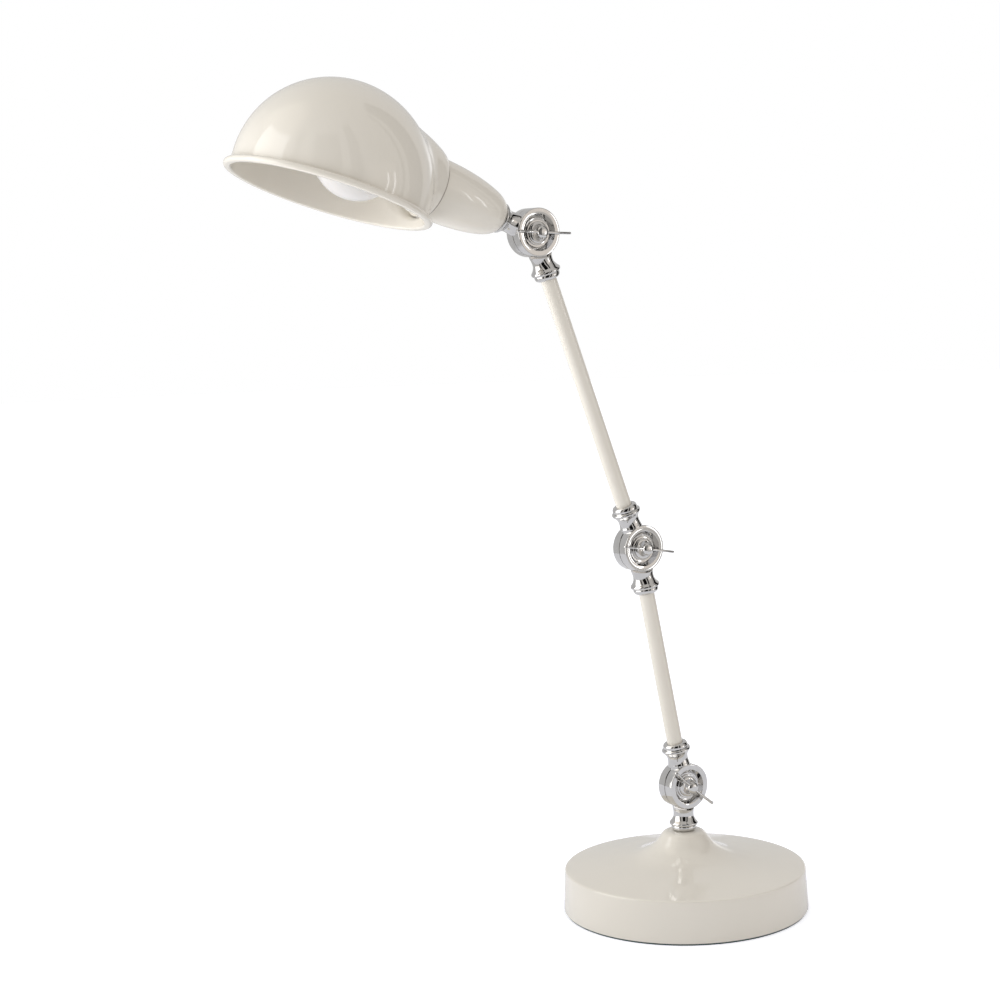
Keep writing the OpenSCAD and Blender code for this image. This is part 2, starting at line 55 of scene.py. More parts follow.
PINS = {joint["name"]: Vector(joint["pos_m"]) / MM for joint in frame["joints"]}
BASE_PIN = PINS["base_tilt"]
ELBOW_PIN = PINS["elbow_tilt"]
HEAD_PIN = PINS["head_tilt"]
HEAD_LEAN = 68.3

SHEET = 1.2

# The base's cover, with its stem hole and the hole for the cord
BASE_R = 82.5
BASE_FOOT = 1.2
BASE_RIM_R = 81.2
BASE_RIM_Z = 27.6
BASE_RIM_ROUND = 1.4
HUB_R = 11.0
HUB_Z = 53.8
STEM_HOLE_R = 5.05
INLET_Z = 14.5
INLET_R = 4.8

# The arms; a tube starts SOCKET_S from a bolt's axis, and its socket's floor is a gap nearer
TUBE_R = 5.15
TUBE_WALL = 1.0
TUBE_BEVEL = 0.3
SOCKET_S = 23.2
TUBE_GAP = 0.2

# The shade; an S is a distance from the head bolt along the lampholder
DOME_R = 60.5
SKIRT_H = 9.8
SHADE_S = 143.0
AXIS_H = 30.7
MOUTH_LEAN = 1.8
MOUTH_TURN = 1.7
BEAD_R = 2.0
BEAD_MID_R = 62.1
LIP_ROUND = 1.2
COLLAR_S = 79.5
COLLAR_BORE = 20.05
COLLAR_EDGE_R = 20.6
FLANGE_S = 81.5
FLANGE_R = 15.95
FLANGE_BITE = 0.15

# The cup round the lampholder; beyond PAINTED_SHADE_S its enamel is painted dark, a painted shade for the gap at
# the collar's end
CUP_S = 27.3
CUP_HOLE_R = 8.4
CUP_END_S = 81.2
CUP_END_R = 19.4
PAINTED_SHADE_S = 78.3

# The bulb; its globe begins this many degrees from its middle, towards the neck
GLOBE_START = -52
BULB_R = 27.5
GLOBE_S = 131.7
BULB_NECK_S = 88.0
BULB_NECK_R = 12.6

# The knuckles: their drums, dished fronts, bolts and washers
DRUM_R = 15.3
DRUM_HALF = 7.5
SEAM = 0.3
DRUM_HOLLOW_R = 12.7
DRUM_BEVEL = 0.2
REAR_ROUND = 1.2
FRONT_ROUND = 0.5
BACK_FLOOR = 1.9
DISH_R = 11.5
DISH_FLOOR_R = 9.2
DISH_FLOOR = 4.6
DISH_FLOOR_T = 1.6
FRONT_WALL = 1.2
FRONT_WALL_OUT = 0.85
BOLT_R = 2.95
BOLT_PLAY = 0.05
BOLT_END = 10.9
BOLT_HEAD_R = 6.4
BOLT_HEAD_H = 2.2
WASHER_R = 8.0
WASHER_T = 0.9
WASHER_PLAY = 0.2

# The necks: the gap to the other half's drum, the turned side, and the lip round the tube
NECK_CLEAR = 1.2
NECK_SIDE = [(7.4, 13), (7.35, 15.4), (7.0, 17.2), (6.8, 19.4), (7.0, 21.4), (7.9, 23.3),
             (9.0, 24.7), (9.5, 25.4), (9.6, 26.0), (9.45, 26.6), (8.9, 27.1), (8.15, 27.35)]
NECK_LIP = [(8.15, 27.35), (8.3, 28.0), (8.3, 28.8), (8.1, 29.7), (7.6, 30.45), (6.8, 30.9),
            (6.1, 31.0), (5.5, 30.8), (5.2, 30.4)]

# The wing nuts: where the flange rests, its radius, and the top. A wing runs from a circle
# at its root to one at its tip, each (distance out, distance along the bolt, radius)
NUT_Y = 5.55
NUT_FLANGE_R = 6.9
NUT_TOP = 13.3
NUT_BORE_END = 11.1
WING_T = 1.5
WING_EDGE = 0.55
WING_START = 2.0
WING_ROOT = (4.6, 9.6, 2.3)
WING_TIP = (18.45, 12.4, 1.8)
WING_UNDERSIDE = [(9.5, 9.05), (14.0, 10.15)]
WING_TOPSIDE = [(13.6, 12.95), (9.4, 12.1)]
WING_TURNS = {"base": 40.5, "elbow": 10.5, "head": 3.5}


def lean_of(start, end):
    """Lean from upright, towards -X, of the line between two bolts."""
    return math.degrees(math.atan2(start.x - end.x, end.z - start.z))


def on_pin(pin, lean):
    """Matrix that puts a piece drawn along +Z on a bolt, at a lean."""
    return Matrix.Translation(pin) @ Matrix.Rotation(math.radians(-lean), 4, "Y")


LOWER = on_pin(BASE_PIN, lean_of(BASE_PIN, ELBOW_PIN))
UPPER = on_pin(ELBOW_PIN, lean_of(ELBOW_PIN, HEAD_PIN))
HEAD = on_pin(HEAD_PIN, HEAD_LEAN)
LOWER_LEN = (ELBOW_PIN - BASE_PIN).length
UPPER_LEN = (HEAD_PIN - ELBOW_PIN).length

# ------------------------------------------------------------------- meshes

# Edges between faces that turn by more degrees than this look hard
CREASE = 35


def curve_through(points, steps):
    """Catmull-Rom curve through profile points."""
    p = np.array([points[0], *points, points[-1]], float)
    out = []
    for a, b, c, d in zip(p[:-3], p[1:-2], p[2:-1], p[3:]):
        for t in np.arange(steps) / steps:
            out.append(0.5 * (2 * b + (c - a) * t + (2 * a - 5 * b + 4 * c - d) * t**2
                              + (3 * b - a - 3 * c + d) * t**3))
    return [tuple(q) for q in out] + [tuple(points[-1])]


def arc(center, radius, start, end, steps):
    """Points on an arc, angles in degrees."""
    return [(center[0] + radius * math.cos(math.radians(a)),
             center[1] + radius * math.sin(math.radians(a)))
            for a in np.linspace(start, end, steps + 1)]


def offset_inwards(points, distance):
    """A profile moved to the left of its direction of travel."""
    p = np.array(points, float)
    run = np.gradient(p, axis=0)
    run /= np.maximum(np.linalg.norm(run, axis=1, keepdims=True), 1e-9)
    return [tuple(q) for q in p + distance * np.stack([-run[:, 1], run[:, 0]], 1)]


def lathe(profile, segments, closed=True):
    """Vertices and faces of a profile of (radius, height) turned about Z.

    A closed profile's last point is joined to its first; an open one ends on the axis.
    """
    verts, faces, rows = [], [], []
    for r, z in profile:
        if r < 1e-6:
            rows.append([len(verts)] * segments)
            verts.append((0.0, 0.0, z))
            continue
        rows.append(list(range(len(verts), len(verts) + segments)))
        for k in range(segments):
            a = 2 * math.pi * k / segments
            verts.append((r * math.cos(a), r * math.sin(a), z))
    pairs = list(zip(rows[:-1], rows[1:]))
    if closed:
        pairs.append((rows[-1], rows[0]))
    for low, high in pairs:
        for k in range(segments):
            j = (k + 1) % segments
            face = []
            for v in (low[k], low[j], high[j], high[k]):
                if v not in face:
                    face.append(v)
            if len(face) > 2:
                faces.append(face)
    return verts, faces


def grid_faces(rows):
    """Quads between rows of vertex indices, each row a closed ring."""
    faces = []
    for low, high in zip(rows[:-1], rows[1:]):
        n = len(low)
        for k in range(n):
            faces.append([low[k], low[(k + 1) % n], high[(k + 1) % n], high[k]])
    return faces


def new_object(name, verts, faces):
    """An object of its own mesh, with its faces turned outwards."""
    mesh = bpy.data.meshes.new(name)
    mesh.from_pydata(verts, [], faces)
    bm = bmesh.new()
    bm.from_mesh(mesh)
    bmesh.ops.recalc_face_normals(bm, faces=bm.faces)
    bm.to_mesh(mesh)
    bm.free()
    made = bpy.data.objects.new(name, mesh)
    bpy.context.scene.collection.objects.link(made)
    return made


def make_piece(name, parts, matrix, body, node, slot, crease=CREASE):
    """One object from (verts, faces) parts in mm, riding on a body in place of a CAD node."""
    verts, faces = [], []
    for part_verts, part_faces in parts:
        start = len(verts)
        verts += [matrix @ Vector(v) * MM for v in part_verts]
        faces += [[start + i for i in face] for face in part_faces]
    piece = new_object(name, verts, faces)
    smooth(piece, crease)
    piece.data.materials.append(MATERIALS[slot])
    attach(piece, body)
    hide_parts(node)
    return piece


def scratch(part, matrix=Matrix.Identity(4)):
    """A loose object for booleans, from (verts, faces)."""
    return new_object("scratch", [matrix @ Vector(v) for v in part[0]], part[1])


def combine(target, tool, operation):
    """Applies a boolean to an object and removes its tool."""
    step = target.modifiers.new("step", "BOOLEAN")
    step.operation = operation
    step.solver = "EXACT"
    step.object = tool
    bpy.context.view_layer.objects.active = target
    bpy.ops.object.modifier_apply(modifier=step.name)
    bpy.data.objects.remove(tool)


def taken(loose):
    """The (verts, faces) of a loose object, which is removed."""
    mesh = loose.data
    part = [tuple(v.co) for v in mesh.vertices], [list(face.vertices) for face in mesh.polygons]
    bpy.data.objects.remove(loose)
    return part


def smooth(piece, crease=CREASE):
    """Smooth shading with hard edges above an angle."""
    piece.data.shade_smooth()
    piece.data.set_sharp_from_angle(angle=math.radians(crease))


# ---------------------------------------------------------------- materials


class Nodes:
    """A material's node tree with short helpers.

    Socket names are given with underscores for spaces.
    """

    def __init__(self, name):
        self.material = bpy.data.materials.new(name)
        self.material.use_nodes = True
        self.tree = self.material.node_tree
        self.shader = self.tree.nodes["Principled BSDF"]
        self.place = self.add("ShaderNodeTexCoord").outputs["Object"]

    def add(self, kind, **values):
        node = self.tree.nodes.new(kind)
        for key, value in values.items():
            if hasattr(node, key):
                setattr(node, key, value)
            else:
                node.inputs[key.replace("_", " ")].default_value = value
        return node

    def link(self, source, target):
        self.tree.links.new(source, target)

    def set(self, **values):
        for key, value in values.items():
            self.shader.inputs[key.replace("_", " ")].default_value = value

    def stretched(self, scale):
        """Object coordinates stretched unevenly, for grain that runs one way."""
        mapping = self.add("ShaderNodeMapping")
        mapping.inputs["Scale"].default_value = scale
        self.link(self.place, mapping.inputs["Vector"])
        return mapping.outputs["Vector"]

    def noise(self, scale, detail, place=None):
        node = self.add("ShaderNodeTexNoise", Scale=scale, Detail=detail)
        self.link(place or self.place, node.inputs["Vector"])
        return node.outputs["Fac"]

    def ramp(self, source, stops):
        node = self.add("ShaderNodeValToRGB")
        elements = node.color_ramp.elements
        while len(elements) < len(stops):
            elements.new(0.5)
        for element, (position, color) in zip(elements, stops):
            element.position = position
            element.color = (*color, 1)
        self.link(source, node.inputs["Fac"])
        return node.outputs["Color"]

    def vary(self, source, low, high, target):
        """Varies a shader input between two values with a texture."""
        node = self.add("ShaderNodeMapRange")
        node.inputs["From Min"].default_value = 0.3
        node.inputs["From Max"].default_value = 0.7
        node.inputs["To Min"].default_value = low
        node.inputs["To Max"].default_value = high
        self.link(source, node.inputs["Value"])
        self.link(node.outputs["Result"], self.shader.inputs[target])

    def bump(self, source, strength, distance, under=None):
        node = self.add("ShaderNodeBump", Strength=strength, Distance=distance)
        self.link(source, node.inputs["Height"])
        if under is not None:
            self.link(under, node.inputs["Normal"])
        self.link(node.outputs["Normal"], self.shader.inputs["Normal"])
        return node.outputs["Normal"]


def enamel(name, dark, light):
    """Paint under a clear, slightly rippled gloss."""
    n = Nodes(name)
    tone = n.noise(9.0, 2.0)
    n.link(n.ramp(tone, [(0.3, dark), (0.7, light)]), n.shader.inputs["Base Color"])
    n.vary(n.noise(60.0, 3.0), 0.36, 0.44, "Roughness")
    n.set(Specular_IOR_Level=0.12, Coat_Weight=1.0, Coat_Roughness=0.025, Coat_IOR=1.55)
    peel = n.bump(n.noise(620.0, 1.5), 0.06, 0.0001)
    n.bump(n.noise(95.0, 2.0), 0.04, 0.0003, peel)
    return n.material


def chrome_plate():
    n = Nodes("chrome_plate")
    n.set(Metallic=1.0)
    haze = n.noise(140.0, 4.0)
    n.link(n.ramp(haze, [(0.35, (0.635, 0.630, 0.625)), (0.75, (0.700, 0.695, 0.690))]),
           n.shader.inputs["Base Color"])
    n.vary(n.noise(320.0, 5.0), 0.03, 0.07, "Roughness")
    n.bump(n.noise(180.0, 2.0), 0.02, 0.0002)
    return n.material


def opal():
    n = Nodes("opal_glass")
    n.link(n.ramp(n.noise(30.0, 2.0), [(0.3, (0.70, 0.683, 0.662)), (0.7, (0.74, 0.722, 0.70))]),
           n.shader.inputs["Base Color"])
    n.vary(n.noise(200.0, 2.0), 0.09, 0.14, "Roughness")
    n.set(Subsurface_Weight=0.35, Subsurface_Scale=0.004, Coat_Weight=0.4, Coat_Roughness=0.03)
    n.shader.inputs["Subsurface Radius"].default_value = (1.0, 0.9, 0.8)
    return n.material


def felt_cloth():
    n = Nodes("felt_cloth")
    fibres = n.noise(1500.0, 6.0)
    n.link(n.ramp(fibres, [(0.3, (0.018, 0.040, 0.044)), (0.7, (0.060, 0.105, 0.110))]),
           n.shader.inputs["Base Color"])
    n.set(Roughness=0.95, Sheen_Weight=0.5, Sheen_Roughness=0.6)
    n.bump(fibres, 0.6, 0.0005)
    return n.material


def metal(name, dark, light, rough, grain):
    """Turned or brushed metal with grain across its axis."""
    n = Nodes(name)
    n.set(Metallic=1.0)
    lines = n.noise(40.0, 5.0, n.stretched(grain))
    n.link(n.ramp(lines, [(0.3, dark), (0.7, light)]), n.shader.inputs["Base Color"])
    n.vary(lines, rough[0], rough[1], "Roughness")
    n.bump(lines, 0.12, 0.0002)
    return n.material


def cast_iron():
    n = Nodes("cast_iron")
    n.set(Metallic=0.85)
    sand = n.noise(420.0, 8.0)
    n.link(n.ramp(sand, [(0.3, (0.045, 0.045, 0.048)), (0.7, (0.12, 0.12, 0.125))]),
           n.shader.inputs["Base Color"])
    n.vary(sand, 0.5, 0.8, "Roughness")
    n.bump(sand, 0.5, 0.0006)
    return n.material


def moulded(name, dark, light, rough, scale=350.0, strength=0.08):
    """Satin or matte material with a fine speck."""
    n = Nodes(name)
    speck = n.noise(scale, 5.0)
    n.link(n.ramp(speck, [(0.35, dark), (0.65, light)]), n.shader.inputs["Base Color"])
    n.vary(n.noise(scale / 4, 3.0), rough[0], rough[1], "Roughness")
    n.bump(speck, strength, 0.0003)
    return n.material


MATERIALS = {
    "ivory_paint": enamel("ivory_enamel", (0.770, 0.727, 0.645), (0.790, 0.749, 0.670)),
    "chrome": chrome_plate(),
    "opal_glass": opal(),
    "felt": felt_cloth(),
    "cast_iron": cast_iron(),
    "steel": metal("zinc_steel", (0.42, 0.43, 0.45), (0.60, 0.61, 0.63), (0.25, 0.42),
                   (1, 1, 14)),
    "brass": metal("turned_brass", (0.62, 0.44, 0.17), (0.82, 0.62, 0.30), (0.18, 0.34),
                   (1, 1, 18)),
    "nickel_cap": metal("nickel_cap", (0.60, 0.59, 0.57), (0.74, 0.73, 0.70), (0.2, 0.34),
                        (1, 1, 10)),
    "white_moulding": moulded("white_moulding", (0.76, 0.75, 0.70), (0.82, 0.81, 0.77),
                              (0.3, 0.42)),
    "bakelite": moulded("bakelite", (0.020, 0.016, 0.013), (0.034, 0.028, 0.022),
                        (0.25, 0.38)),
    "grommet_rubber": moulded("grommet_rubber", (0.012, 0.012, 0.012), (0.024, 0.024, 0.024),
                              (0.6, 0.8), 800.0, 0.2),
    "lead_sleeve": moulded("lead_sleeve", (0.03, 0.03, 0.03), (0.05, 0.05, 0.05),
                           (0.45, 0.6)),
    "friction_fibre": moulded("friction_fibre", (0.03, 0.024, 0.02), (0.07, 0.06, 0.05),
                              (0.75, 0.9), 1200.0, 0.4),
    "porcelain": moulded("porcelain", (0.74, 0.73, 0.69), (0.80, 0.79, 0.75), (0.35, 0.5),
                         200.0, 0.05),
}
# Enamel painted dark: a painted shade for the gap where the shade's collar overhangs the cup
PAINTED_SHADE_ENAMEL = enamel("enamel_painted_shade", (0.30, 0.265, 0.225), (0.40, 0.36, 0.31))


def dress_cad_nodes():
    """Gives every CAD node the material of its slot."""
    for part in frame["record"]["subparts"]:
        node = frame["nodes"][part["node"]]
        for material_slot in node.material_slots:
            material_slot.material = MATERIALS[part["material_slot"]]


# -------------------------------------------------------------------- base


def base_cover():
    """A sheet cover: its upright wall, rounded rim and the top that rises into the hub."""
    rim_center = (BASE_RIM_R - BASE_RIM_ROUND, BASE_RIM_Z)
    rim = arc(rim_center, BASE_RIM_ROUND, 0, 78, 8)
    top = curve_through([rim[-1], (58, 32.8), (37.4, 36.4), (27, 40.2), (20.5, 44.4),
                         (17, 48.6), (14.4, 52), (HUB_R + 1.2, 53.45), (HUB_R - 0.5, HUB_Z)], 10)
    foot = arc((BASE_R - 0.4, BASE_FOOT + 0.4), 0.4, -90, -3, 3)
    outside = foot + rim + top[1:] + [(STEM_HOLE_R + 0.2, HUB_Z)]
    inside = offset_inwards(outside[len(foot):], SHEET)
    inside = [(max(r, STEM_HOLE_R), min(z, HUB_Z - SHEET)) for r, z in inside]
    loop = outside + [(STEM_HOLE_R, HUB_Z - 0.2)] + inside[::-1] + [(BASE_R - SHEET, BASE_FOOT)]
    cut_inlet(make_piece("base_cover_shell", [lathe(loop, 256)], Matrix.Identity(4), "base",
                         "base_cover", "ivory_paint"))


def cut_inlet(piece):
    """Cuts the cord's hole through the wall of the cover."""
    turn = Matrix.Translation((BASE_R, 0, INLET_Z)) @ Matrix.Rotation(math.pi / 2, 4, "Y")
    reach = 5 * SHEET
    hole = lathe([(0, -reach), (INLET_R, -reach), (INLET_R, reach), (0, reach)], 64, closed=False)
    combine(piece, scratch(hole, Matrix.Scale(MM, 4) @ turn), "DIFFERENCE")
    smooth(piece)


# -------------------------------------------------------------------- arms


def arm_tube(name, matrix, length, body, node):
    ends = (SOCKET_S, length - SOCKET_S)
    bore = TUBE_R - TUBE_WALL
    loop = [(bore, ends[0]), (TUBE_R - TUBE_BEVEL, ends[0]), (TUBE_R, ends[0] + TUBE_BEVEL),
            (TUBE_R, ends[1] - TUBE_BEVEL), (TUBE_R - TUBE_BEVEL, ends[1]), (bore, ends[1])]
    make_piece(name, [lathe(loop, 96)], matrix, body, node, "ivory_paint")


# ---------------------------------------------------------------- knuckles

# Turn a piece drawn along +Z to point away from the wing nuts, or towards them
REAR = Matrix.Rotation(math.radians(-90), 4, "X")
FRONT = Matrix.Rotation(math.radians(90), 4, "X")
BORE_R = BOLT_R + BOLT_PLAY
DRUM_FOOT = [(DRUM_R, SEAM + DRUM_BEVEL), (DRUM_R - DRUM_BEVEL, SEAM), (DRUM_HOLLOW_R, SEAM)]


def rounded(corner, radius, start, end):
    """A rounded corner of a profile; the corner is where its two sides would meet."""
    center = (corner[0] - radius, corner[1] - radius)
    return arc(center, radius, start, end, 5)


def rear_drum():
    """The half with the plain face at the back."""
    return [(BORE_R, DRUM_HALF), *rounded((DRUM_R, DRUM_HALF), REAR_ROUND, 90, 0), *DRUM_FOOT,
            (DRUM_HOLLOW_R, DRUM_HALF - BACK_FLOOR), (BORE_R, DRUM_HALF - BACK_FLOOR)]


def front_drum():
    """The half with the dished face that the washer and the nut sit in."""
    dish = [(DISH_R + 0.35, DRUM_HALF), (DISH_R + 0.1, DRUM_HALF - 0.07),
            (DISH_R - 0.1, DRUM_HALF - 0.3), (DISH_FLOOR_R + 0.25, DISH_FLOOR + 0.3),
            (DISH_FLOOR_R, DISH_FLOOR + 0.06), (DISH_FLOOR_R - 0.3, DISH_FLOOR)]
    wall = [(r + FRONT_WALL_OUT, y - FRONT_WALL)
            for r, y in ((DISH_R, DRUM_HALF), (DISH_FLOOR_R, DISH_FLOOR))]
    return [(BORE_R, DISH_FLOOR), *dish[::-1], *rounded((DRUM_R, DRUM_HALF), FRONT_ROUND, 90, 0),
            *DRUM_FOOT, (DRUM_HOLLOW_R, DRUM_HALF - FRONT_WALL), *wall,
            (DISH_FLOOR_R, DISH_FLOOR - DISH_FLOOR_T), (BORE_R, DISH_FLOOR - DISH_FLOOR_T)]


def knuckle_half(drum, facing, away):
    """Half a knuckle: a drum on the bolt and a neck that clears the other half's drum."""
    neck = [(0, NECK_SIDE[0][1]), *curve_through(NECK_SIDE, 8)[:-1], *curve_through(NECK_LIP, 6),
            (NECK_LIP[-1][0], SOCKET_S - TUBE_GAP), (0, SOCKET_S - TUBE_GAP)]
    half = scratch(lathe(neck, 128, closed=False))
    reach = DRUM_R + NECK_CLEAR
    clearance = [(0, -SEAM), (reach, -SEAM), (reach, 2 * DRUM_HALF), (0, 2 * DRUM_HALF)]
    combine(half, scratch(lathe(clearance, 192, closed=False), away), "DIFFERENCE")
    combine(half, scratch(lathe(drum, 192), facing), "UNION")
    return taken(half)


def wing_outline():
    """Outline of one wing: two circles joined by slightly hollow sides."""
    (rx, ry, rr), (tx, ty, tr) = WING_ROOT, WING_TIP
    slope = math.degrees(math.atan2(ty - ry, tx - rx))
    lower = arc((rx, ry), rr, slope - 90, slope - 90, 0)
    points = [(WING_START, ry - rr), (rx - 0.3, ry - rr)]
    points += curve_through([lower[0], *WING_UNDERSIDE,
                             *arc((tx, ty), tr, slope - 88, slope - 60, 1)], 5)
    points += arc((tx, ty), tr, slope - 50, slope + 80, 12)
    points += curve_through([*arc((tx, ty), tr, slope + 90, slope + 96, 1), *WING_TOPSIDE,
                             (rx + 0.6, ry + rr + 0.05)], 5)
    return points + [(WING_START, ry + rr)]


def wing(side):
    """A wing with rounded edges, towards +X for side 1 and towards -X for side -1."""
    outline = np.array(wing_outline())
    run = np.roll(outline, -1, axis=0) - np.roll(outline, 1, axis=0)
    run /= np.linalg.norm(run, axis=1, keepdims=True)
    inward = np.stack([-run[:, 1], run[:, 0]], 1)
    verts, rings = [], []
    for face, turns in ((-1, (-90, -60, -30, 0)), (1, (0, 30, 60, 90))):
        for turn in np.radians(turns):
            lift = face * (WING_T / 2 - WING_EDGE) + WING_EDGE * math.sin(turn)
            ring = outline + inward * WING_EDGE * (1 - math.cos(turn))
            rings.append(list(range(len(verts), len(verts) + len(ring))))
            verts += [(side * x, lift * side, depth) for x, depth in ring]
    faces = grid_faces(rings) + [rings[0][::-1], rings[-1]]
    return verts, faces


def wing_nut():
    """Drawn with its bore along Z and its wings towards +X and -X."""
    hub = [(BORE_R, NUT_Y), (NUT_FLANGE_R - 0.15, NUT_Y), (NUT_FLANGE_R, NUT_Y + 0.15),
           (NUT_FLANGE_R, NUT_Y + 0.75), (NUT_FLANGE_R - 0.15, NUT_Y + 1.0),
           (NUT_FLANGE_R - 0.45, NUT_Y + 1.2)]
    hub += curve_through([(5.2, NUT_Y + 1.4), (4.6, NUT_Y + 2.6), (4.15, 10.2), (3.95, 11.5),
                          (3.4, 12.45), (2.1, 13.1), (0.01, NUT_TOP)], 6)[:-1]
    hub += [(0, NUT_TOP), (0, NUT_BORE_END), (BORE_R, NUT_BORE_END)]
    bore = lathe([(0, 0), (BORE_R, 0), (BORE_R, NUT_BORE_END), (0, NUT_BORE_END)], 64, closed=False)
    nut = scratch(lathe(hub, 128))
    for side in (1, -1):
        arm = scratch(wing(side))
        combine(arm, scratch(bore), "DIFFERENCE")
        combine(nut, arm, "UNION")
    return taken(nut)


def pivot_bolt():
    """A bolt with a low round head at the rear."""
    head = [(BOLT_HEAD_R, DRUM_HALF), (BOLT_HEAD_R, DRUM_HALF + 0.5)]
    head += curve_through([(BOLT_HEAD_R - 0.2, DRUM_HALF + 0.85),
                           (BOLT_HEAD_R - 1.2, DRUM_HALF + 1.4),
                           (BOLT_HEAD_R - 3.2, DRUM_HALF + 2.0),
                           (0, DRUM_HALF + BOLT_HEAD_H)], 6)
    shank = [(0, -BOLT_END), (BOLT_R - 0.4, -BOLT_END), (BOLT_R, -BOLT_END + 0.4),
             (BOLT_R, DRUM_HALF)]
    return lathe(shank + head, 96, closed=False)


def washer():
    return lathe([(BOLT_R + WASHER_PLAY, DISH_FLOOR), (WASHER_R, DISH_FLOOR),
                  *rounded((WASHER_R, DISH_FLOOR + WASHER_T), 0.4, 0, 90),
                  (BOLT_R + WASHER_PLAY, DISH_FLOOR + WASHER_T)], 128)


def knuckles():
    """Places the five parts of each knuckle; the parts are alike at all three bolts."""
    rear = knuckle_half(rear_drum(), REAR, FRONT)
    front = knuckle_half(front_drum(), FRONT, REAR)
    nut, bolt, ring = wing_nut(), pivot_bolt(), washer()
    lower, upper = lean_of(BASE_PIN, ELBOW_PIN), lean_of(ELBOW_PIN, HEAD_PIN)
    # Name, bolt, then body and lean of the rear half and of the front half
    places = [("base", BASE_PIN, "base", 180, "lower_arm", lower),
              ("elbow", ELBOW_PIN, "lower_arm", lower + 180, "upper_arm", upper),
              ("head", HEAD_PIN, "upper_arm", upper + 180, "head", HEAD_LEAN)]
    for name, pin, held, held_lean, moved, moved_lean in places:
        turned = Matrix.Rotation(math.radians(WING_TURNS[name]), 4, "Y") @ FRONT
        for part, piece, matrix, body, node in (
                (rear, "rear_half", on_pin(pin, held_lean), held, "knuckle_rear"),
                (bolt, "bolt", on_pin(pin, 0) @ REAR, held, "pivot_bolt"),
                (front, "front_half", on_pin(pin, moved_lean), moved, "knuckle_front"),
                (ring, "dished_washer", on_pin(pin, 0) @ FRONT, moved, "cup_washer"),
                (nut, "winged_nut", on_pin(pin, 0) @ turned, name + "_nut", "wing_nut")):
            make_piece(name + "_" + piece, [part], matrix, body, name + "_" + node, "chrome", 30)


# -------------------------------------------------------------------- head


def holder_cup():
    """The bell-shaped cup; its end, in the gap at the shade's collar, gets darker enamel as painted shade."""
    side = curve_through([(9.4, CUP_S), (11.3, 29.2), (13.8, 34), (15.8, 41), (17.2, 48),
                          (18.3, 56), (19, 64), (19.3, 72), (CUP_END_R, PAINTED_SHADE_S - 0.1),
                          (CUP_END_R, CUP_END_S)], 10)
    inside = [(r, z) for r, z in offset_inwards(side, SHEET) if z > CUP_S + SHEET]
    loop = [(CUP_HOLE_R, CUP_S), *side, (CUP_END_R - SHEET, CUP_END_S), *inside[::-1],
            (CUP_HOLE_R, CUP_S + SHEET)]
    piece = make_piece("holder_cup_shell", [lathe(loop, 192)], HEAD, "head", "holder_cup",
                       "ivory_paint")
    piece.data.materials.append(PAINTED_SHADE_ENAMEL)
    to_head = HEAD.inverted()
    # Faces near the collar take the darker enamel, a painted shade for the gap there
    for face in piece.data.polygons:
        if (to_head @ (face.center / MM)).z > PAINTED_SHADE_S:
            face.material_index = 1


def bulb():
    """An opal globe that narrows to its neck."""
    neck = [(BULB_NECK_R, BULB_NECK_S), (BULB_NECK_R + 0.6, BULB_NECK_S + 3)]
    globe = arc((0, GLOBE_S), BULB_R, GLOBE_START, 90, 48)
    side = curve_through([*neck, (15.1, 104), globe[0]], 8)[:-1] + globe
    side[-1] = (0, side[-1][1])
    make_piece("bulb_envelope", [lathe([(0, BULB_NECK_S), *side], 128, closed=False)], HEAD,
               "head", "bulb_glass", "opal_glass", 60)


# The outer points, with a radius below zero, only close the field at both ends of the collar
COLLAR_PROFILE = [(-60, COLLAR_S - 20), *curve_through(
    [(COLLAR_EDGE_R, COLLAR_S), (21.3, COLLAR_S + 0.45), (22.3, COLLAR_S + 1.7),
     (24.6, COLLAR_S + 6.5), (27.8, COLLAR_S + 16), (30, COLLAR_S + 26), (30, COLLAR_S + 36),
     (27, COLLAR_S + 46), (18, COLLAR_S + 56), (-60, COLLAR_S + 90)], 12)]
# The collar's side leans, so its distance is this part of the distance straight across
COLLAR_SLANT = 0.9
# The crease between dome and collar: its full width, the length of collar over which it
# grows to that from the least part of it, and how slowly it starts
FILLET = 4.95
FILLET_RUN = 9
FILLET_LEAST = 0.02
FILLET_START = 1.2
# Search limits for the surface, from the middle of the opening, and numbers of halvings
NEAREST, FARTHEST = 30.0, 110.0
SURFACE_STEPS = 40
CENTERING_STEPS = 60
# How far the columns are evened out round the opening
EVENNESS = 0.75

MOUTH_AXES = np.array(Matrix.Rotation(math.radians(-MOUTH_TURN), 3, "Z")
                      @ Matrix.Rotation(math.radians(-MOUTH_LEAN), 3, "Y"))
DOME_CENTER = np.array([SKIRT_H - AXIS_H, 0.0, SHADE_S])


def into_mouth(p):
    """From the head's frame to the opening's: its middle is the origin, X points inwards."""
    return (p - DOME_CENTER) @ MOUTH_AXES + [SKIRT_H, 0, 0]


def out_of_mouth(p):
    """From the opening's frame to the head's."""
    return (p - [SKIRT_H, 0, 0]) @ MOUTH_AXES.T + DOME_CENTER


def shade_field(p):
    """Signed distance, about, to the outside of the shade; p in the head's frame."""
    m = into_mouth(p)
    flat = np.hypot(m[..., 1], m[..., 2])
    dome = np.hypot(flat, np.maximum(m[..., 0] - SKIRT_H, 0)) - DOME_R
    radius, place = np.array(COLLAR_PROFILE).T
    collar = np.hypot(p[..., 0], p[..., 1]) - np.interp(p[..., 2], place, radius)
    collar = collar * COLLAR_SLANT
    grown = np.clip((p[..., 2] - COLLAR_S) / FILLET_RUN, FILLET_LEAST, 1)
    reach = FILLET * grown ** FILLET_START
    mix = np.clip(0.5 + 0.5 * (dome - collar) / reach, 0, 1)
    return dome * (1 - mix) + collar * mix - reach * mix * (1 - mix)


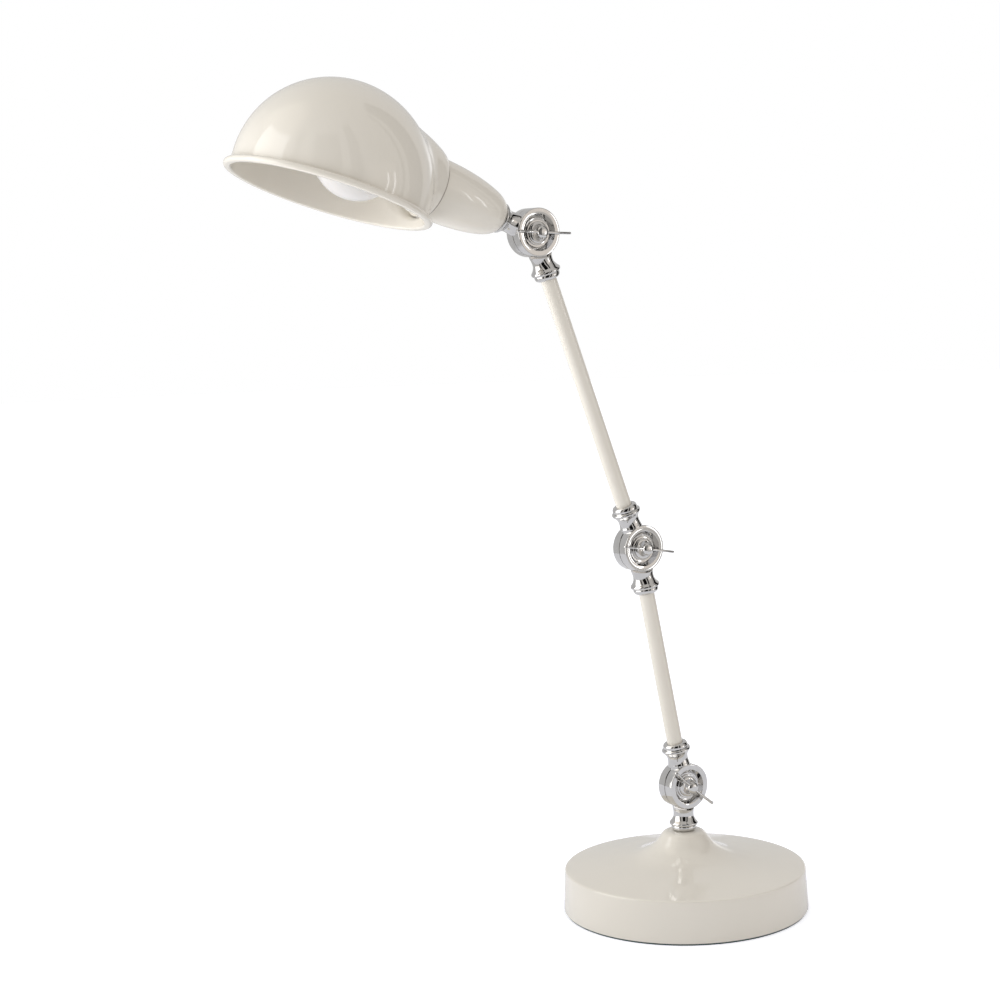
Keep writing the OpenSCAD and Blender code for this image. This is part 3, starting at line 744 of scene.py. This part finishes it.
def shade_normal(p):
    """Direction in which the field grows fastest."""
    step = 0.05
    grad = np.stack([shade_field(p + step * e) - shade_field(p - step * e) for e in np.eye(3)], -1)
    return grad / np.linalg.norm(grad, axis=-1, keepdims=True)


def shade_surface(mouth_h, around=384, rows=110):
    """Rows of points from the collar's end to the opening, and each column's bearing there.

    A direction from the middle of the opening is a point of a disk; the collar's end is a
    circle in that disk, off its centre. A Moebius map makes the two circles concentric,
    so straight columns there become columns that flow smoothly over the dome.
    """
    middle = out_of_mouth(np.zeros(3))
    turn = 2 * np.pi * (np.arange(around) + 0.5) / around
    edge = np.stack([COLLAR_EDGE_R * np.cos(turn), COLLAR_EDGE_R * np.sin(turn),
                     np.full(around, COLLAR_S)], -1)
    top = math.atan2(mouth_h, DOME_R)
    scale = math.tan((math.pi / 2 - top) / 2)

    def to_disk(direction):
        d = direction / np.linalg.norm(direction, axis=-1, keepdims=True) @ MOUTH_AXES
        spread = np.tan((np.pi / 2 - np.arcsin(d[..., 0])) / 2) / scale
        return spread * np.exp(1j * np.arctan2(d[..., 1], -d[..., 2]))

    def from_disk(w):
        rise = np.pi / 2 - 2 * np.arctan(np.abs(w) * scale)
        a = np.angle(w)
        d = np.stack([np.sin(rise), np.cos(rise) * np.sin(a), -np.cos(rise) * np.cos(a)], -1)
        return d @ MOUTH_AXES.T

    hole = to_disk(edge - middle)
    bearing = np.angle(hole.mean())
    hole = hole * np.exp(-1j * bearing)
    near, far = hole.real.max(), hole.real.min()
    low, high = far, near
    for _ in range(CENTERING_STEPS):
        b = (low + high) / 2
        if (near - b) / (1 - b * near) + (far - b) / (1 - b * far) > 0:
            low = b
        else:
            high = b
    start = (hole - b) / (1 - b * hole)
    angle = np.unwrap(np.angle(start))
    natural = np.exp(1j * angle)
    natural = np.unwrap(np.angle((natural + b) / (1 + b * natural)))
    even = natural.mean() + np.sign(natural[-1] - natural[0]) * (turn - turn.mean())
    azimuth = (1 - EVENNESS) * natural + EVENNESS * even
    end = np.exp(1j * azimuth)
    end = np.unwrap(np.angle((end - b) / (1 - b * end)))
    end += 2 * np.pi * np.round((angle - end).mean() / (2 * np.pi))

    grid = []
    for t in np.linspace(0, 1, rows + 1):
        sweep = t * t * (3 - 2 * t)
        zeta = np.abs(start) ** (1 - t) * np.exp(1j * ((1 - sweep) * angle + sweep * end))
        direction = from_disk(np.exp(1j * bearing) * (zeta + b) / (1 + b * zeta))
        inner, outer = np.full(around, NEAREST), np.full(around, FARTHEST)
        for _ in range(SURFACE_STEPS):
            reach = (inner + outer) / 2
            inside = shade_field(middle + direction * reach[:, None]) < 0
            inner = np.where(inside, reach, inner)
            outer = np.where(inside, outer, reach)
        grid.append(middle + direction * ((inner + outer) / 2)[:, None])
    grid[0] = edge
    return grid, azimuth + bearing


def shade():
    """The dome, skirt and collar as one sheet, with its rolled bead and the inner flange."""
    mouth_h = 2 * BEAD_R + 0.1
    outside, azimuth = shade_surface(mouth_h)

    def mouth_ring(radius, height):
        return out_of_mouth(np.stack([np.full(len(azimuth), height), radius * np.sin(azimuth),
                                      -radius * np.cos(azimuth)], -1))

    inside = []
    for row in outside:
        points = row - SHEET * shade_normal(row)
        radius = np.hypot(points[:, 0], points[:, 1])
        grow = np.where(points[:, 2] < FLANGE_S + 1, np.maximum(COLLAR_BORE / radius, 1), 1)
        points[:, :2] *= grow[:, None]
        points[:, 2] = np.maximum(points[:, 2], COLLAR_S + 0.05)
        inside.append(points)
    outside[-1] = mouth_ring(DOME_R, mouth_h)
    inside[-1] = mouth_ring(DOME_R - SHEET, mouth_h)
    bead = arc((BEAD_MID_R, BEAD_R), BEAD_R, 143, -90, 26)
    lip = bead + arc((DOME_R - SHEET + LIP_ROUND, LIP_ROUND), LIP_ROUND, -90, -180, 5)
    rings = outside + [mouth_ring(r, h) for r, h in lip] + inside[::-1] + [outside[0]]
    count = len(azimuth)
    verts = [tuple(v) for ring in rings[:-1] for v in ring]
    rows = [list(range(i * count, (i + 1) * count)) for i in range(len(rings) - 1)]
    faces = grid_faces(rows + [rows[0]])
    flange_edge = COLLAR_BORE + FLANGE_BITE
    flange = lathe([(FLANGE_R, FLANGE_S), (flange_edge, FLANGE_S),
                    (flange_edge, FLANGE_S + SHEET), (FLANGE_R, FLANGE_S + SHEET)], 128)
    make_piece("shade_shell", [(verts, faces), flange], HEAD, "head", "shade", "ivory_paint", 50)


# ------------------------------------------------------------------- stage

FLOOR_R = 6000
# How much the floor glows as light on the lamp, and as the camera sees it
FLOOR_GLOW = (0.04, 0.48)
# In metres; the lamp sees the floor this far, across a soft edge, and the room beyond it
TABLE_R = 0.75
TABLE_EDGE = 0.1

# A panel of light: azimuth of its middle from +X towards +Y, width, lowest and highest
# elevation, all in degrees, then its colour and the width in degrees of its soft edge
SOFT_ROOM = (0.655, 0.65, 0.645)
SOFT_PANELS = [
    (70, 120, -30, 75, (0.78, 0.78, 0.79), 40),       # wall behind the lamp
    (0, 400, 58, 120, (0.88, 0.87, 0.85), 20),        # ceiling
    (-45, 70, 0, 62, (0.90, 0.86, 0.84), 30),         # warm wall on the right
    (148, 68, 0, 41, (2.0, 2.0, 2.0), 20),            # window on the left
    (180, 56, -36, 4, (2.1, 2.1, 2.16), 14),          # its light from below, at the left
    (126, 60, -46, -3, (4.2, 4.2, 4.25), 14),         # and behind, which reaches into the shade
]
GLOSS_ROOM = (0.62, 0.595, 0.565)
BLACK = (0.004, 0.004, 0.004)
GLOSS_PANELS = [
    (75, 130, -90, 75, (0.60, 0.595, 0.59), 30),      # wall behind the lamp
    (0, 400, 60, 120, (0.62, 0.60, 0.57), 20),        # ceiling
    (-58, 34, -5, 14, (0.92, 0.85, 0.78), 4),         # warm wall in the flat faces of the knuckles
    (-122, 34, -90, 50, BLACK, 2),                    # black strips that draw the chrome's shape
    (-8, 26, -90, 62, BLACK, 2),
    (-30, 4, -90, 60, BLACK, 2),
    (-160, 10, -90, 50, BLACK, 2),
    (-88, 14, -90, 60, BLACK, 2),
    (150, 70, 40, 72, (1.3, 1.22, 1.10), 14),         # pale wall over the window
    (159.5, 47, -22, 44, (2.8, 2.75, 2.68), 3),       # window on the left
    (-43, 2.5, -12, 5, (4.0, 4.0, 4.0), 1),           # two narrow lamps at the right
    (-52, 2.0, -12, 5, (4.0, 4.0, 4.0), 1),
    (35, 12, -14, 12, (1.3, 1.3, 1.3), 8),            # small window behind
]

# Azimuth from -Y towards +X, elevation and roll in degrees; the place in metres
CAMERA_ANGLES = (-31.99, 6.61, -1.94)
CAMERA_PLACE = (-0.8339, -1.1145, 0.4430)
CAMERA_LENS = 75.68
CAMERA_SENSOR = 36


def floor():
    """A white floor that glows a little; far from the lamp only the camera sees it."""
    mesh = bpy.data.meshes.new("floor")
    verts, faces = lathe([(0, 0), (FLOOR_R, 0)], 96, closed=False)
    mesh.from_pydata([Vector(v) * MM for v in verts], [], faces)
    plane = bpy.data.objects.new("floor", mesh)
    bpy.context.scene.collection.objects.link(plane)
    n = Nodes("pale_floor")
    tone = n.ramp(n.noise(2.0, 2.0), [(0.0, (0.875, 0.885, 0.92)), (1.0, (0.89, 0.90, 0.935))])
    n.link(tone, n.shader.inputs["Base Color"])
    n.link(tone, n.shader.inputs["Emission Color"])
    n.set(Roughness=0.9, Specular_IOR_Level=0.1)
    seen = n.add("ShaderNodeLightPath").outputs["Is Camera Ray"]
    glow = n.add("ShaderNodeMapRange")
    n.link(seen, glow.inputs["Value"])
    glow.inputs["To Min"].default_value, glow.inputs["To Max"].default_value = FLOOR_GLOW
    n.link(glow.outputs["Result"], n.shader.inputs["Emission Strength"])
    away = n.add("ShaderNodeVectorMath", operation="LENGTH")
    n.link(n.place, away.inputs[0])
    beyond = n.add("ShaderNodeMapRange", interpolation_type="SMOOTHSTEP")
    n.link(away.outputs["Value"], beyond.inputs["Value"])
    beyond.inputs["From Min"].default_value = TABLE_R - TABLE_EDGE
    beyond.inputs["From Max"].default_value = TABLE_R + TABLE_EDGE
    unseen = n.add("ShaderNodeMath", operation="SUBTRACT", use_clamp=True)
    n.link(beyond.outputs["Result"], unseen.inputs[0])
    n.link(seen, unseen.inputs[1])
    mix = n.add("ShaderNodeMixShader")
    n.link(unseen.outputs[0], mix.inputs[0])
    n.link(n.shader.outputs[0], mix.inputs[1])
    n.link(n.add("ShaderNodeBsdfTransparent").outputs[0], mix.inputs[2])
    n.link(mix.outputs[0], n.tree.nodes["Material Output"].inputs["Surface"])
    mesh.materials.append(n.material)


class Room:
    """World shader made of a plain room with soft panels painted over it by direction."""

    def __init__(self, color):
        world = bpy.data.worlds.new("studio")
        bpy.context.scene.world = world
        world.use_nodes = True
        self.tree = world.node_tree
        self.tree.nodes.clear()
        coords = self.add("ShaderNodeTexCoord")
        split = self.add("ShaderNodeSeparateXYZ")
        self.link(coords.outputs["Generated"], split.inputs[0])
        self.azimuth = self.math("ARCTAN2", split.outputs["Y"], split.outputs["X"])
        self.elevation = self.math("ARCSINE", split.outputs["Z"])
        self.color = color

    def add(self, kind, **values):
        node = self.tree.nodes.new(kind)
        for key, value in values.items():
            setattr(node, key, value)
        return node

    def link(self, source, target):
        self.tree.links.new(source, target)

    def math(self, operation, *terms):
        node = self.add("ShaderNodeMath", operation=operation)
        for socket, term in zip(node.inputs, terms):
            if isinstance(term, (int, float)):
                socket.default_value = term
            else:
                self.link(term, socket)
        return node.outputs[0]

    def fade(self, distance, half, edge):
        """1 within half a width of a panel's middle, falling to 0 across its soft edge."""
        node = self.add("ShaderNodeMapRange", interpolation_type="SMOOTHSTEP")
        self.link(distance, node.inputs["Value"])
        for key, value in (("From Min", half - edge / 2), ("From Max", half + edge / 2),
                           ("To Min", 1.0), ("To Max", 0.0)):
            node.inputs[key].default_value = value
        return node.outputs["Result"]

    def panel(self, azimuth, width, low, high, color, edge):
        """Paints a panel over what is there."""
        turn = self.math("SUBTRACT", self.azimuth, math.radians(azimuth))
        turn = self.math("ABSOLUTE", self.math("WRAP", turn, math.pi, -math.pi))
        rise = self.math("SUBTRACT", self.elevation, math.radians((low + high) / 2))
        rise = self.math("ABSOLUTE", rise)
        mask = self.math("MULTIPLY", self.fade(turn, math.radians(width / 2), math.radians(edge)),
                         self.fade(rise, math.radians((high - low) / 2), math.radians(edge)))
        mix = self.add("ShaderNodeMix", data_type="RGBA", clamp_factor=True)
        self.link(mask, mix.inputs["Factor"])
        if isinstance(self.color, tuple):
            mix.inputs["A"].default_value = (*self.color, 1)
        else:
            self.link(self.color, mix.inputs["A"])
        mix.inputs["B"].default_value = (*color, 1)
        self.color = mix.outputs["Result"]

    def reset(self, color):
        """Keeps what is painted so far as a finished sky and starts another."""
        finished = self.add("ShaderNodeBackground")
        self.link(self.color, finished.inputs["Color"])
        self.color = color
        return finished

    def close(self, soft, sharp):
        """The camera sees plain white, gloss sees the sharp sky, everything else the soft one."""
        plain = self.add("ShaderNodeBackground")
        plain.inputs["Color"].default_value = (1, 1, 1, 1)
        path = self.add("ShaderNodeLightPath")
        shown = soft
        for ray, sky in (("Is Glossy Ray", sharp), ("Is Camera Ray", plain)):
            choose = self.add("ShaderNodeMixShader")
            self.link(path.outputs[ray], choose.inputs[0])
            self.link(shown.outputs[0], choose.inputs[1])
            self.link(sky.outputs[0], choose.inputs[2])
            shown = choose
        out = self.add("ShaderNodeOutputWorld")
        self.link(shown.outputs[0], out.inputs[0])


def studio_light():
    """A window on the left in a pale room, soft for the paint and crisp in the gloss."""
    room = Room(SOFT_ROOM)
    for panel in SOFT_PANELS:
        room.panel(*panel)
    soft = room.reset(GLOSS_ROOM)
    for panel in GLOSS_PANELS:
        room.panel(*panel)
    sharp = room.reset(None)
    room.close(soft, sharp)


def camera():
    """A long lens that looks slightly down on the lamp from the wing nuts' side."""
    azimuth, elevation, roll = (math.radians(v) for v in CAMERA_ANGLES)
    back = Vector((math.sin(azimuth) * math.cos(elevation),
                   -math.cos(azimuth) * math.cos(elevation), math.sin(elevation)))
    level = Vector((math.cos(azimuth), math.sin(azimuth), 0))
    upright = back.cross(level)
    right = level * math.cos(roll) + upright * math.sin(roll)
    up = upright * math.cos(roll) - level * math.sin(roll)
    data = bpy.data.cameras.new("camera")
    data.sensor_width = CAMERA_SENSOR
    data.lens = CAMERA_LENS
    data.clip_start = 0.05
    seat = bpy.data.objects.new("camera", data)
    turn = Matrix((right, up, back)).transposed().to_4x4()
    seat.matrix_world = Matrix.Translation(CAMERA_PLACE) @ turn
    bpy.context.scene.collection.objects.link(seat)
    bpy.context.scene.camera = seat


def build():
    dress_cad_nodes()
    base_cover()
    arm_tube("lower_tube", LOWER, LOWER_LEN, "lower_arm", "lower_arm_tube")
    arm_tube("upper_tube", UPPER, UPPER_LEN, "upper_arm", "upper_arm_tube")
    knuckles()
    holder_cup()
    bulb()
    shade()
    floor()
    studio_light()
    camera()
    bpy.context.scene.view_settings.view_transform = "Standard"


build()
